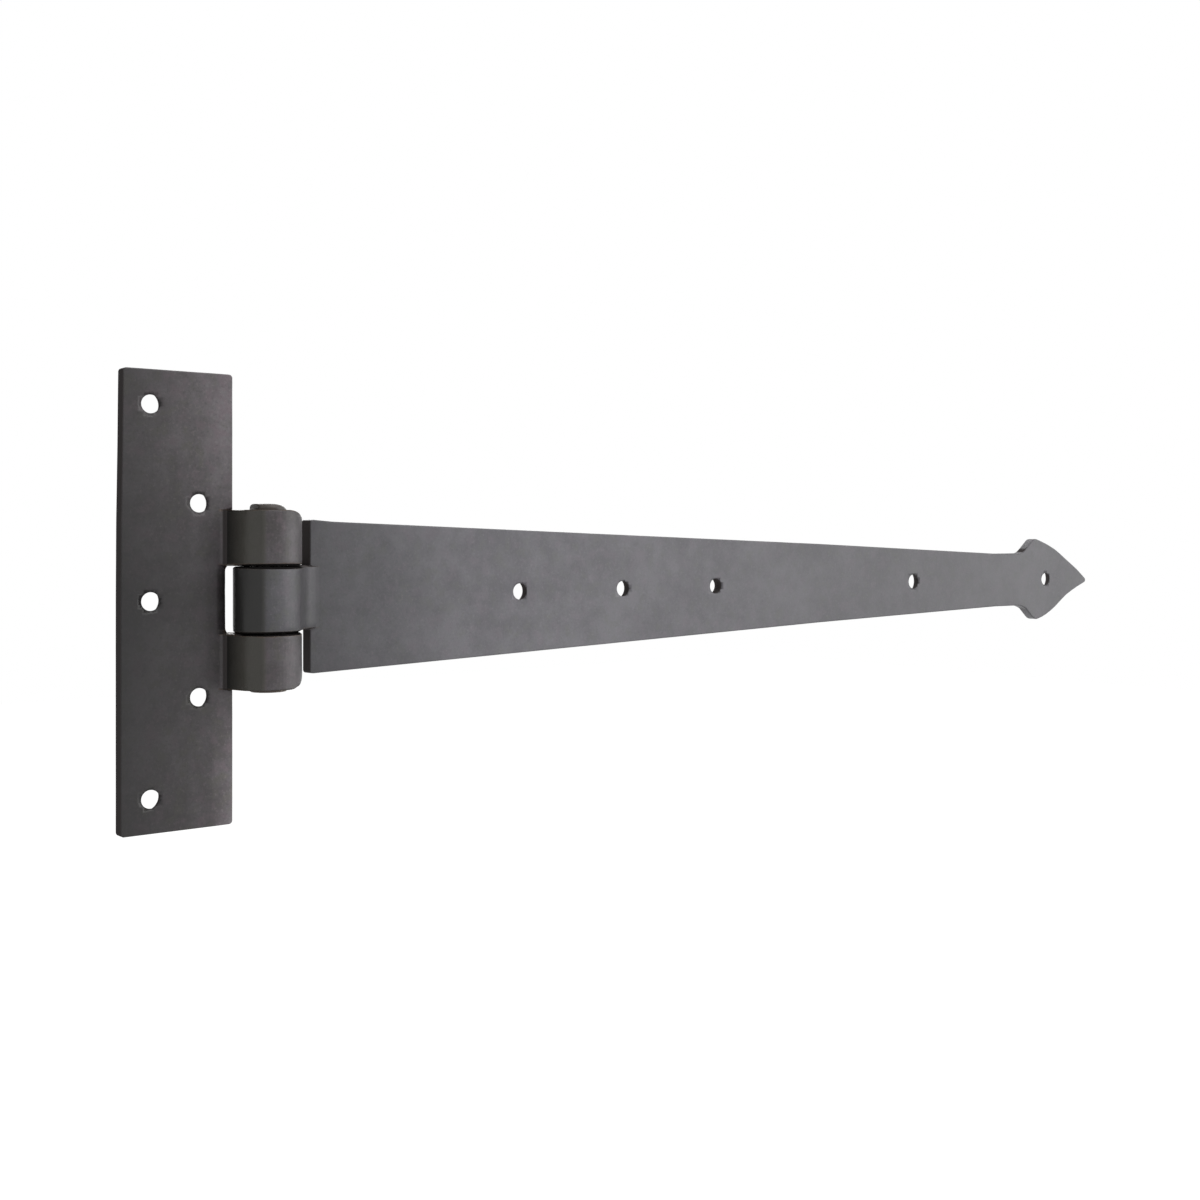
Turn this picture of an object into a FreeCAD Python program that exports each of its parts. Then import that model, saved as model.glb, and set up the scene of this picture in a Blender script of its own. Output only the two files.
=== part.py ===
import FreeCAD, Part
import math
import os
import Sketcher

# Tee hinge of rolled flat iron. X runs along the strap, Z is up and parallel to the pin, and Y points
# into the wall. The origin is the centre of the cross plate's back face, so both leaves lie in front of
# Y = 0 and the barrel stands forward of them.

doc = FreeCAD.newDocument("tee_hinge")

# Driving dimensions in millimetres and degrees
SIZES = (
    # the upright plate that is screwed to the post
    ("plate_height", 152.0),
    ("plate_width", 38.1),
    ("plate_thickness", 4.8),
    ("plate_corner_radius", 1.3),
    ("plate_hole_diameter", 6.6),
    ("outer_column_inset", 9.8),
    ("inner_column_inset", 11.9),
    ("outer_hole_pitch", 64.5),
    ("inner_hole_pitch", 64.6),
    # the long strap that is screwed to the door
    ("strap_length", 457.2),
    ("strap_width", 53.7),
    ("strap_thickness", 4.8),
    ("strap_corner_radius", 1.2),
    ("neck_width", 26.9),
    ("neck_length", 20.0),
    ("shoulder_distance", 19.0),
    ("strap_hole_diameter", 6.8),
    ("first_hole_distance", 88.0),
    ("strap_hole_pitch", 50.5),
    ("far_hole_distance", 316.3),
    ("spear_hole_inset", 36.7),
    # the spear at the strap's end
    ("spear_width", 42.2),
    ("spear_length", 44.0),
    ("spear_root_radius", 8.0),
    ("spear_flank_angle", 40.0),
    ("spear_crest_radius", 6.0),
    ("spear_side_radius", 52.0),
    ("spear_point_angle", 29.0),
    ("spear_tip_radius", 1.4),
    # the barrel: two knuckles on the plate, one on the strap between them
    ("pin_offset", 9.75),
    ("plate_knuckle_height", 18.4),
    ("strap_knuckle_height", 21.4),
    ("knuckle_gap", 1.1),
    ("plate_bend_angle", 74.0),
    ("plate_bend_radius", 1.5),
    ("strap_bend_angle", 57.0),
    ("strap_bend_radius", 8.0),
    ("seam_gap", 0.8),
    ("notch_clearance", 1.2),
    ("notch_corner_radius", 2.2),
    ("relief_cut", 0.6),
    ("dressed_corner_radius", 11.0),
    ("dressed_corner_start", 2.5),
    # the pin
    ("pin_diameter", 12.7),
    ("pin_tight_clearance", 0.02),
    ("pin_running_clearance", 0.08),
    ("pin_top_stub", 2.4),
    ("pin_bottom_stub", 1.0),
    ("pin_dome_radius", 1.6),
    ("pin_bottom_chamfer", 0.5),
    # hammered edges
    ("plate_edge_radius", 0.5),
    ("strap_edge_radius", 0.6),
)

sizes = doc.addObject("Spreadsheet::Sheet", "Sizes")
for row, (name, number) in enumerate(SIZES, start=1):
    sizes.set("A%d" % row, name)
    sizes.set("B%d" % row, str(number))
    sizes.setAlias("B%d" % row, name)
doc.recompute()

# Lengths that several features share, written once as expressions on the sheet
HALF_MIDDLE = "(Sizes.strap_knuckle_height / 2)"
HALF_OPENING = "(Sizes.strap_knuckle_height / 2 + Sizes.knuckle_gap)"
HALF_BARREL = "(Sizes.strap_knuckle_height / 2 + Sizes.knuckle_gap + Sizes.plate_knuckle_height)"
AXIS_X = "(Sizes.plate_width / 2 + Sizes.pin_offset)"
TIGHT_BORE = "(Sizes.pin_diameter / 2 + Sizes.pin_tight_clearance)"
RUNNING_BORE = "(Sizes.pin_diameter / 2 + Sizes.pin_running_clearance)"
AXIS_DEPTH = (
    "(Sizes.pin_diameter / 2 + max(Sizes.plate_thickness + Sizes.pin_tight_clearance;"
    " Sizes.strap_thickness + Sizes.pin_running_clearance))"
)


def amount(expression):
    """The number that an expression on the sheet gives now."""
    return float(sizes.evalExpression(expression))


def start_body(name):
    body = doc.addObject("PartDesign::Body", name)
    body.Label = name
    return body


def start_sketch(body, name, plane):
    """An empty sketch on one of the body's own origin planes, XY_Plane or XZ_Plane."""
    support = [item for item in body.Origin.OriginFeatures if item.Role == plane][0]
    sketch = body.newObject("Sketcher::SketchObject", name)
    sketch.AttachmentSupport = (support, [""])
    sketch.MapMode = "FlatFace"
    return sketch


def point(across, up):
    return FreeCAD.Vector(across, up, 0)


def on_circle(centre, radius, degrees):
    angle = math.radians(degrees)
    return centre + point(radius * math.cos(angle), radius * math.sin(angle))


def add_line(sketch, start, end):
    return sketch.addGeometry(Part.LineSegment(start, end), False)


def add_arc(sketch, centre, radius, start_degrees, end_degrees):
    """An arc that runs anticlockwise from the first angle to the second."""
    circle = Part.Circle(centre, FreeCAD.Vector(0, 0, 1), radius)
    arc = Part.ArcOfCircle(circle, math.radians(start_degrees), math.radians(end_degrees))
    return sketch.addGeometry(arc, False)


def hold(sketch, kind, *where):
    """A constraint without a number, such as Tangent or Vertical."""
    return sketch.addConstraint(Sketcher.Constraint(kind, *where))


def drive(sketch, name, expression, kind, *where):
    """A named dimension of the sketch, bound to an expression on the sheet."""
    number = amount(expression)
    if kind == "Angle":
        number = math.radians(number)
    index = sketch.addConstraint(Sketcher.Constraint(kind, *where, number))
    sketch.renameConstraint(index, name)
    unit = "deg" if kind == "Angle" else "mm"
    sketch.setExpression("Constraints." + name, "(%s) * 1 %s" % (expression, unit))


# A sketch numbers a curve's own points from its start, and its own two axes from -1 downwards
START, END, CENTRE = range(1, 4)
ORIGIN_X, ORIGIN_Y = range(-1, -3, -1)


def join(sketch, kind, pairs):
    """Join ends of sketch lines: each pair is (line, its end, next line, its end)."""
    for pair in pairs:
        hold(sketch, kind, *pair)


def round_rectangle(sketch, label, left, right, bottom, top, radius):
    """A rectangle with round corners between four driven sides, each given as an expression."""
    low = point(amount(left), amount(bottom))
    high = point(amount(right), amount(top))
    corner = amount(radius)
    centres = (
        point(high.x - corner, low.y + corner),
        point(high.x - corner, high.y - corner),
        point(low.x + corner, high.y - corner),
        point(low.x + corner, low.y + corner),
    )
    arcs = [add_arc(sketch, centre, corner, 90 * i - 90, 90 * i) for i, centre in enumerate(centres)]
    sides = []
    for i, centre in enumerate(centres):
        before = centres[i - 1]
        facing = 90 * i - 90
        sides.append(add_line(sketch, on_circle(before, corner, facing), on_circle(centre, corner, facing)))
    for i in range(4):
        hold(sketch, "Tangent", sides[i], END, arcs[i], START)
        hold(sketch, "Tangent", arcs[i - 1], END, sides[i], START)
        hold(sketch, "Horizontal" if i % 2 == 0 else "Vertical", sides[i])
    for arc in arcs[1:]:
        hold(sketch, "Equal", arcs[0], arc)
    drive(sketch, label + "_corner", radius, "Radius", arcs[0])
    drive(sketch, label + "_bottom", bottom, "DistanceY", sides[0], START)
    drive(sketch, label + "_right", right, "DistanceX", sides[1], START)
    drive(sketch, label + "_top", top, "DistanceY", sides[2], START)
    drive(sketch, label + "_left", left, "DistanceX", sides[3], START)


def rectangle(sketch, label, left, right, bottom, top):
    """A rectangle between four driven sides, each given as an expression."""
    corners = [point(amount(x), amount(y)) for x, y in
               ((left, bottom), (right, bottom), (right, top), (left, top))]
    sides = [add_line(sketch, corners[i - 1], corners[i]) for i in range(4)]
    for i in range(4):
        hold(sketch, "Coincident", sides[i - 1], END, sides[i], START)
        hold(sketch, "Vertical" if i % 2 == 0 else "Horizontal", sides[i])
    drive(sketch, label + "_left", left, "DistanceX", sides[0], START)
    drive(sketch, label + "_bottom", bottom, "DistanceY", sides[1], START)
    drive(sketch, label + "_right", right, "DistanceX", sides[2], START)
    drive(sketch, label + "_top", top, "DistanceY", sides[3], START)


def round_hole(sketch, label, across, up, diameter):
    """A circle with a driven centre. A height of None puts it on the level middle line."""
    centre = point(amount(across), 0 if up is None else amount(up))
    circle = sketch.addGeometry(Part.Circle(centre, FreeCAD.Vector(0, 0, 1), amount(diameter) / 2), False)
    drive(sketch, label + "_across", across, "DistanceX", circle, CENTRE)
    if up is None:
        hold(sketch, "PointOnObject", circle, CENTRE, ORIGIN_X)
    else:
        drive(sketch, label + "_up", up, "DistanceY", circle, CENTRE)
    drive(sketch, label + "_diameter", diameter, "Diameter", circle)


def pad(body, sketch, name, length):
    feature = body.newObject("PartDesign::Pad", name)
    feature.Profile = sketch
    feature.setExpression("Length", length)
    doc.recompute()
    return feature


def cut_through(body, sketch, name):
    """A pocket that goes through the whole leaf, to both sides of its sketch."""
    before = body.Shape.Volume
    feature = body.newObject("PartDesign::Pocket", name)
    feature.Profile = sketch
    feature.SideType = "Symmetric"
    feature.Type = "ThroughAll"
    doc.recompute()
    if not body.Shape.Volume < before:
        raise RuntimeError(name + " removed nothing")
    return feature


def mirror_down(body, original, name):
    """Repeat a feature of the upper half below the hinge's level middle plane."""
    plane = [item for item in body.Origin.OriginFeatures if item.Role == "XY_Plane"][0]
    feature = body.newObject("PartDesign::Mirrored", name)
    feature.Originals = [original]
    feature.MirrorPlane = (plane, [""])
    body.Tip = feature
    doc.recompute()
    return feature


def round_face_edges(body, name, radius, depths):
    """Round the edges that lie wholly in the upright planes at the given depths."""
    base = body.Tip
    chosen = []
    for number, edge in enumerate(base.Shape.Edges, start=1):
        box = edge.BoundBox
        if any(max(abs(box.YMin - depth), abs(box.YMax - depth)) < 1e-4 for depth in depths):
            chosen.append("Edge%d" % number)
    feature = body.newObject("PartDesign::Fillet", name)
    feature.Base = (base, chosen)
    feature.setExpression("Radius", radius)
    doc.recompute()
    return feature


def bend_foot(bore, thickness, bend_angle, bend_radius):
    """How far from the pin's axis, along the leaf, a rolled tongue leaves the flat."""
    roll = "(%s + %s)" % (bore, thickness)
    around = "%s * sin(%s)" % (roll, bend_angle)
    ramp = "(%s + %s * cos(%s) - %s) / tan(%s)" % (AXIS_DEPTH, roll, bend_angle, thickness, bend_angle)
    hollow = "%s * tan(%s / 2)" % (bend_radius, bend_angle)
    return "(%s + %s + %s)" % (around, ramp, hollow)


def rolled_strip(sketch, thickness, bore, bend_angle, bend_radius, root):
    """Plan view of a tongue rolled round the pin, with the flat leaf off to the right. The sketch's
    origin is level with the pin on the leaf's back face. From the leaf the strip turns up in a hollow
    bend, rises as a straight ramp, goes round the pin over its front and comes in behind it, where its
    end stops short of the ramp by the seam gap.
    """
    outer = "(%s + %s)" % (bore, thickness)
    end_angle = "(%s - 90 + acos((%s - Sizes.seam_gap) / %s) / 1 deg)" % (bend_angle, bore, outer)
    lean = amount(bend_angle)
    bend = amount(bend_radius)
    roll = amount(outer)
    hole = amount(bore)
    gauge = amount(thickness)
    seam = amount(end_angle)
    foot = amount(bend_foot(bore, thickness, bend_angle, bend_radius))
    axis = point(0, -amount(AXIS_DEPTH))
    hollow = point(foot, -gauge - bend)
    front_root = point(amount(root), -gauge)
    back_root = point(amount(root), 0)

    leaf = add_line(sketch, back_root, front_root)
    front_leaf = add_line(sketch, front_root, point(foot, -gauge))
    front_bend = add_arc(sketch, hollow, bend, 90, 90 + lean)
    front_ramp = add_line(sketch, on_circle(hollow, bend, 90 + lean), on_circle(axis, roll, lean - 90))
    outside = add_arc(sketch, axis, roll, seam, 270 + lean)
    tongue_end = add_line(sketch, on_circle(axis, roll, seam), on_circle(axis, hole, seam))
    inside = add_arc(sketch, axis, hole, seam, 270 + lean)
    back_ramp = add_line(sketch, on_circle(axis, hole, lean - 90), on_circle(hollow, bend + gauge, 90 + lean))
    back_bend = add_arc(sketch, hollow, bend + gauge, 90, 90 + lean)
    back_leaf = add_line(sketch, point(foot, 0), back_root)

    join(sketch, "Coincident", (
        (leaf, END, front_leaf, START),
        (outside, START, tongue_end, START),
        (tongue_end, END, inside, START),
        (back_leaf, END, leaf, START),
        (front_bend, CENTRE, back_bend, CENTRE),
        (outside, CENTRE, inside, CENTRE),
    ))
    join(sketch, "Tangent", (
        (front_leaf, END, front_bend, START),
        (front_bend, END, front_ramp, START),
        (front_ramp, END, outside, END),
        (inside, END, back_ramp, START),
        (back_ramp, END, back_bend, END),
        (back_bend, START, back_leaf, START),
    ))
    hold(sketch, "Vertical", leaf)
    hold(sketch, "Horizontal", front_leaf)
    hold(sketch, "Horizontal", back_leaf)
    hold(sketch, "PointOnObject", back_leaf, END, ORIGIN_X)
    hold(sketch, "PointOnObject", outside, CENTRE, ORIGIN_Y)
    hold(sketch, "PointOnObject", outside, CENTRE, tongue_end)
    drive(sketch, "root", root, "DistanceX", leaf, START)
    drive(sketch, "gauge", thickness, "Distance", leaf)
    drive(sketch, "axis_depth", "-" + AXIS_DEPTH, "DistanceY", outside, CENTRE)
    drive(sketch, "roll_radius", outer, "Radius", outside)
    drive(sketch, "bore_radius", bore, "Radius", inside)
    drive(sketch, "bend_radius", bend_radius, "Radius", front_bend)
    drive(sketch, "bend_angle", "180 + " + bend_angle, "Angle", front_ramp)
    drive(sketch, "seam_angle", "180 + " + end_angle, "Angle", tongue_end)


# The cross plate: a flat plate with two tongues rolled forward and round the pin
cross_plate = start_body("cross_plate")
HALF_HEIGHT = "(Sizes.plate_height / 2)"
HALF_WIDTH = "(Sizes.plate_width / 2)"

flat_sketch = start_sketch(cross_plate, "PlateOutline", "XZ_Plane")
round_rectangle(flat_sketch, "plate", "-" + HALF_WIDTH, HALF_WIDTH, "-" + HALF_HEIGHT, HALF_HEIGHT,
                "Sizes.plate_corner_radius")
pad(cross_plate, flat_sketch, "FlatPlate", "Sizes.plate_thickness")
round_face_edges(cross_plate, "PlateEdges", "Sizes.plate_edge_radius", (0, -amount("Sizes.plate_thickness")))

# The tongues leave the flat where their bend starts, so that strip of it is cleared for them
PLATE_FOOT = bend_foot(TIGHT_BORE, "Sizes.plate_thickness", "Sizes.plate_bend_angle",
                       "Sizes.plate_bend_radius")
WINDOW_X = "min(%s - %s; %s - Sizes.relief_cut)" % (AXIS_X, PLATE_FOOT, HALF_WIDTH)
PAST_EDGE = "(%s + Sizes.plate_thickness)" % HALF_WIDTH
WINDOW_TOP = "(%s + Sizes.relief_cut)" % HALF_BARREL

window_sketch = start_sketch(cross_plate, "TongueWindows", "XZ_Plane")
rectangle(window_sketch, "upper", WINDOW_X, PAST_EDGE, HALF_OPENING, WINDOW_TOP)
rectangle(window_sketch, "lower", WINDOW_X, PAST_EDGE, "-" + WINDOW_TOP, "-" + HALF_OPENING)
cut_through(cross_plate, window_sketch, "TongueWindow")

# Between the tongues the plate's edge is notched back so that the strap's knuckle can turn
NOTCH_X = "min(%s - %s - Sizes.strap_thickness - Sizes.notch_clearance; %s - Sizes.relief_cut)" % (
    AXIS_X, RUNNING_BORE, HALF_WIDTH)
notch_sketch = start_sketch(cross_plate, "KnuckleNotch", "XZ_Plane")
round_rectangle(notch_sketch, "notch", NOTCH_X, PAST_EDGE, "-" + HALF_OPENING, HALF_OPENING,
                "Sizes.notch_corner_radius")
cut_through(cross_plate, notch_sketch, "Notch")

tongue_sketch = start_sketch(cross_plate, "RolledTongue", "XY_Plane")
tongue_sketch.AttachmentOffset = FreeCAD.Placement(
    FreeCAD.Vector(amount(AXIS_X), 0, amount(HALF_BARREL)), FreeCAD.Rotation(FreeCAD.Vector(0, 1, 0), 180))
tongue_sketch.setExpression(".AttachmentOffset.Base.x", AXIS_X + " * 1 mm")
tongue_sketch.setExpression(".AttachmentOffset.Base.z", HALF_BARREL + " * 1 mm")
rolled_strip(tongue_sketch, "Sizes.plate_thickness", TIGHT_BORE, "Sizes.plate_bend_angle",
             "Sizes.plate_bend_radius", "(max(%s; Sizes.pin_offset) + Sizes.plate_thickness)" % PLATE_FOOT)
tongue = pad(cross_plate, tongue_sketch, "UpperTongue", "Sizes.plate_knuckle_height")
mirror_down(cross_plate, tongue, "LowerTongue")

# The barrel's outer corners, on the strap's side, are dressed round
DRESSED_X = "(%s + Sizes.dressed_corner_start)" % AXIS_X
DRESSED_Z = "(%s - Sizes.dressed_corner_radius)" % HALF_BARREL
dressed_sketch = start_sketch(cross_plate, "DressedCorner", "XZ_Plane")
dressed_centre = point(amount(DRESSED_X), amount(DRESSED_Z))
dressed_radius = amount("Sizes.dressed_corner_radius")
corner_arc = add_arc(dressed_sketch, dressed_centre, dressed_radius, 0, 90)
corner_top = add_line(dressed_sketch, dressed_centre + point(0, dressed_radius),
                      dressed_centre + point(dressed_radius, dressed_radius))
corner_side = add_line(dressed_sketch, dressed_centre + point(dressed_radius, dressed_radius),
                       dressed_centre + point(dressed_radius, 0))
join(dressed_sketch, "Tangent", (
    (corner_arc, END, corner_top, START),
    (corner_side, END, corner_arc, START),
))
hold(dressed_sketch, "Coincident", corner_top, END, corner_side, START)
hold(dressed_sketch, "Horizontal", corner_top)
hold(dressed_sketch, "Vertical", corner_side)
drive(dressed_sketch, "start", DRESSED_X, "DistanceX", corner_arc, CENTRE)
drive(dressed_sketch, "level", DRESSED_Z, "DistanceY", corner_arc, CENTRE)
drive(dressed_sketch, "corner", "Sizes.dressed_corner_radius", "Radius", corner_arc)
dressed = cut_through(cross_plate, dressed_sketch, "UpperDressing")
mirror_down(cross_plate, dressed, "LowerDressing")

# Five punched holes in two staggered columns
OUTER_COLUMN = "(Sizes.outer_column_inset - %s)" % HALF_WIDTH
INNER_COLUMN = "(%s - Sizes.inner_column_inset)" % HALF_WIDTH
plate_holes = start_sketch(cross_plate, "PlateHoles", "XZ_Plane")
for label, across, up in (
    ("outer_top", OUTER_COLUMN, "Sizes.outer_hole_pitch"),
    ("outer_middle", OUTER_COLUMN, None),
    ("outer_bottom", OUTER_COLUMN, "-Sizes.outer_hole_pitch"),
    ("inner_top", INNER_COLUMN, "(Sizes.inner_hole_pitch / 2)"),
    ("inner_bottom", INNER_COLUMN, "(-Sizes.inner_hole_pitch / 2)"),
):
    round_hole(plate_holes, label, across, up, "Sizes.plate_hole_diameter")
cut_through(cross_plate, plate_holes, "PunchedHoles")


# The strap: a tapered blade with a spear end. Its own frame starts at the foot of the pin's axis
strap = start_body("strap")
strap.setExpression(".Placement.Base.x", AXIS_X + " * 1 mm")

SHOULDER_X = "Sizes.shoulder_distance"
TIP_X = "(Sizes.shoulder_distance + Sizes.strap_length)"
HALF_NECK = "(Sizes.neck_width / 2)"


def blade_outline(sketch):
    """The upper half of the strap's outline, from the shoulder by the barrel to the spear's point."""
    shoulder = amount(SHOULDER_X)
    tip = amount(TIP_X)
    half_width = amount("Sizes.strap_width / 2")
    half_neck = amount(HALF_NECK)
    half_spear = amount("Sizes.spear_width / 2")
    corner = amount("Sizes.strap_corner_radius")
    root_radius = amount("Sizes.spear_root_radius")
    crest_radius = amount("Sizes.spear_crest_radius")
    side_radius = amount("Sizes.spear_side_radius")
    tip_radius = amount("Sizes.spear_tip_radius")
    flank = amount("Sizes.spear_flank_angle")
    sharp = amount("Sizes.spear_point_angle")

    crest_centre = point(tip - amount("Sizes.spear_length"), half_spear - crest_radius)
    tip_centre = point(tip - tip_radius, 0)
    rise = half_spear - half_neck
    turned = (root_radius + crest_radius) * (1 - math.cos(math.radians(flank)))
    flank_length = (rise - turned) / math.sin(math.radians(flank))
    root_centre = on_circle(crest_centre, root_radius + crest_radius, 90 + flank) + on_circle(
        point(0, 0), flank_length, flank + 180)
    facing = on_circle(point(0, 0), 1, 90 - sharp)
    reach = facing.dot(crest_centre - tip_centre) - tip_radius + side_radius
    crest_lean = sharp - math.degrees(math.acos(reach / (side_radius - crest_radius)))
    side_centre = on_circle(crest_centre, side_radius - crest_radius, 270 - crest_lean)
    neck_end = point(root_centre.x, half_neck)
    neck_start = neck_end - point(amount("Sizes.neck_length"), 0)
    wide_end = point(shoulder, half_width)
    taper = math.degrees(math.atan2(half_width - half_neck, neck_start.x - shoulder))
    set_back = corner * math.tan(math.radians((90 - taper) / 2))
    corner_centre = point(shoulder + corner, half_width - set_back)

    end_edge = add_line(sketch, point(shoulder, 0), on_circle(corner_centre, corner, 180))
    end_corner = add_arc(sketch, corner_centre, corner, 90 - taper, 180)
    long_edge = add_line(sketch, on_circle(corner_centre, corner, 90 - taper), neck_start)
    neck = add_line(sketch, neck_start, neck_end)
    root = add_arc(sketch, root_centre, root_radius, 270, 270 + flank)
    flank_edge = add_line(sketch, on_circle(root_centre, root_radius, 270 + flank),
                          on_circle(crest_centre, crest_radius, 90 + flank))
    crest = add_arc(sketch, crest_centre, crest_radius, 90 - crest_lean, 90 + flank)
    side = add_arc(sketch, side_centre, side_radius, 90 - sharp, 90 - crest_lean)
    point_edge = add_line(sketch, on_circle(side_centre, side_radius, 90 - sharp),
                          on_circle(tip_centre, tip_radius, 90 - sharp))
    tip_arc = add_arc(sketch, tip_centre, tip_radius, 0, 90 - sharp)
    middle = add_line(sketch, point(tip, 0), point(shoulder, 0))
    apex = sketch.addGeometry(Part.Point(wide_end), True)

    join(sketch, "Coincident", (
        (middle, END, end_edge, START),
        (long_edge, END, neck, START),
        (tip_arc, START, middle, START),
    ))
    join(sketch, "Tangent", (
        (end_edge, END, end_corner, END),
        (end_corner, START, long_edge, START),
        (neck, END, root, START),
        (root, END, flank_edge, START),
        (flank_edge, END, crest, END),
        (crest, START, side, END),
        (side, START, point_edge, START),
        (point_edge, END, tip_arc, END),
    ))
    hold(sketch, "Vertical", end_edge)
    hold(sketch, "Horizontal", neck)
    hold(sketch, "PointOnObject", middle, START, ORIGIN_X)
    hold(sketch, "PointOnObject", middle, END, ORIGIN_X)
    hold(sketch, "PointOnObject", tip_arc, CENTRE, ORIGIN_X)
    hold(sketch, "PointOnObject", apex, START, end_edge)
    hold(sketch, "PointOnObject", apex, START, long_edge)
    drive(sketch, "shoulder", SHOULDER_X, "DistanceX", middle, END)
    drive(sketch, "tip", TIP_X, "DistanceX", middle, START)
    drive(sketch, "half_width", "Sizes.strap_width / 2", "DistanceY", apex, START)
    drive(sketch, "end_corner", "Sizes.strap_corner_radius", "Radius", end_corner)
    drive(sketch, "half_neck", HALF_NECK, "DistanceY", neck, START)
    drive(sketch, "neck_length", "Sizes.neck_length", "Distance", neck)
    drive(sketch, "root_radius", "Sizes.spear_root_radius", "Radius", root)
    drive(sketch, "flank_angle", "Sizes.spear_flank_angle", "Angle", flank_edge)
    drive(sketch, "crest_radius", "Sizes.spear_crest_radius", "Radius", crest)
    drive(sketch, "crest_across", TIP_X + " - Sizes.spear_length", "DistanceX", crest, CENTRE)
    drive(sketch, "crest_up", "Sizes.spear_width / 2 - Sizes.spear_crest_radius", "DistanceY", crest, CENTRE)
    drive(sketch, "side_radius", "Sizes.spear_side_radius", "Radius", side)
    drive(sketch, "point_angle", "-Sizes.spear_point_angle", "Angle", point_edge)
    drive(sketch, "tip_radius", "Sizes.spear_tip_radius", "Radius", tip_arc)


blade_sketch = start_sketch(strap, "BladeOutline", "XZ_Plane")
blade_outline(blade_sketch)
upper_blade = pad(strap, blade_sketch, "UpperBlade", "Sizes.strap_thickness")
mirror_down(strap, upper_blade, "LowerBlade")
round_face_edges(strap, "BladeEdges", "Sizes.strap_edge_radius", (0, -amount("Sizes.strap_thickness")))

# The tongue between the shoulders starts to rise a little way inside the blade
STRAP_FOOT = bend_foot(RUNNING_BORE, "Sizes.strap_thickness", "Sizes.strap_bend_angle",
                       "Sizes.strap_bend_radius")
WINDOW_END = "max(%s; Sizes.shoulder_distance + Sizes.relief_cut)" % STRAP_FOOT
tongue_window = start_sketch(strap, "TongueWindow", "XZ_Plane")
rectangle(tongue_window, "window", "(Sizes.shoulder_distance - Sizes.strap_thickness)", WINDOW_END,
          "-" + HALF_MIDDLE, HALF_MIDDLE)
cut_through(strap, tongue_window, "TongueRoot")

strap_tongue_sketch = start_sketch(strap, "RolledTongue", "XY_Plane")
strap_tongue_sketch.AttachmentOffset = FreeCAD.Placement(
    FreeCAD.Vector(0, 0, -amount(HALF_MIDDLE)), FreeCAD.Rotation())
strap_tongue_sketch.setExpression(".AttachmentOffset.Base.z", "-%s * 1 mm" % HALF_MIDDLE)
rolled_strip(strap_tongue_sketch, "Sizes.strap_thickness", RUNNING_BORE, "Sizes.strap_bend_angle",
             "Sizes.strap_bend_radius", "(%s + Sizes.strap_thickness)" % WINDOW_END)
pad(strap, strap_tongue_sketch, "Tongue", "Sizes.strap_knuckle_height")

# Five punched holes along the strap's middle line
FIRST_HOLE = "(Sizes.shoulder_distance + Sizes.first_hole_distance%s)"
strap_holes = start_sketch(strap, "StrapHoles", "XZ_Plane")
for label, across in (
    ("first", FIRST_HOLE % ""),
    ("second", FIRST_HOLE % " + Sizes.strap_hole_pitch"),
    ("third", FIRST_HOLE % " + 2 * Sizes.strap_hole_pitch"),
    ("far", "(Sizes.shoulder_distance + Sizes.far_hole_distance)"),
    ("spear", "(%s - Sizes.spear_hole_inset)" % TIP_X),
):
    round_hole(strap_holes, label, across, None, "Sizes.strap_hole_diameter")
cut_through(strap, strap_holes, "PunchedHoles")


# The pin: a plain round bar with a domed upper rim and a chamfered foot
hinge_pin = start_body("hinge_pin")
hinge_pin.setExpression(".Placement.Base.x", AXIS_X + " * 1 mm")
hinge_pin.setExpression(".Placement.Base.y", "-%s * 1 mm" % AXIS_DEPTH)
PIN_TOP = "(%s + Sizes.pin_top_stub)" % HALF_BARREL
PIN_FOOT = "(%s + Sizes.pin_bottom_stub)" % HALF_BARREL


def pin_section(sketch):
    """Half of the pin's long section, to be turned about the upright axis."""
    top = amount(PIN_TOP)
    foot = -amount(PIN_FOOT)
    radius = amount("Sizes.pin_diameter / 2")
    dome = amount("Sizes.pin_dome_radius")
    chamfer = amount("Sizes.pin_bottom_chamfer")
    dome_centre = point(radius - dome, top - dome)

    foot_face = add_line(sketch, point(0, foot), point(radius - chamfer, foot))
    foot_edge = add_line(sketch, point(radius - chamfer, foot), point(radius, foot + chamfer))
    shank = add_line(sketch, point(radius, foot + chamfer), dome_centre + point(dome, 0))
    rim = add_arc(sketch, dome_centre, dome, 0, 90)
    top_face = add_line(sketch, dome_centre + point(0, dome), point(0, top))
    axis_line = add_line(sketch, point(0, top), point(0, foot))

    join(sketch, "Coincident", (
        (foot_face, END, foot_edge, START),
        (foot_edge, END, shank, START),
        (top_face, END, axis_line, START),
        (axis_line, END, foot_face, START),
    ))
    join(sketch, "Tangent", (
        (shank, END, rim, START),
        (rim, END, top_face, START),
    ))
    hold(sketch, "Horizontal", foot_face)
    hold(sketch, "Vertical", shank)
    hold(sketch, "Horizontal", top_face)
    hold(sketch, "PointOnObject", axis_line, START, ORIGIN_Y)
    hold(sketch, "PointOnObject", axis_line, END, ORIGIN_Y)
    drive(sketch, "foot", "-" + PIN_FOOT, "DistanceY", axis_line, END)
    drive(sketch, "top", PIN_TOP, "DistanceY", axis_line, START)
    drive(sketch, "radius", "Sizes.pin_diameter / 2", "DistanceX", shank, START)
    drive(sketch, "foot_face", "Sizes.pin_diameter / 2 - Sizes.pin_bottom_chamfer", "DistanceX",
          foot_face, END)
    drive(sketch, "shank_foot", "Sizes.pin_bottom_chamfer - " + PIN_FOOT, "DistanceY", shank, START)
    drive(sketch, "dome", "Sizes.pin_dome_radius", "Radius", rim)


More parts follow.
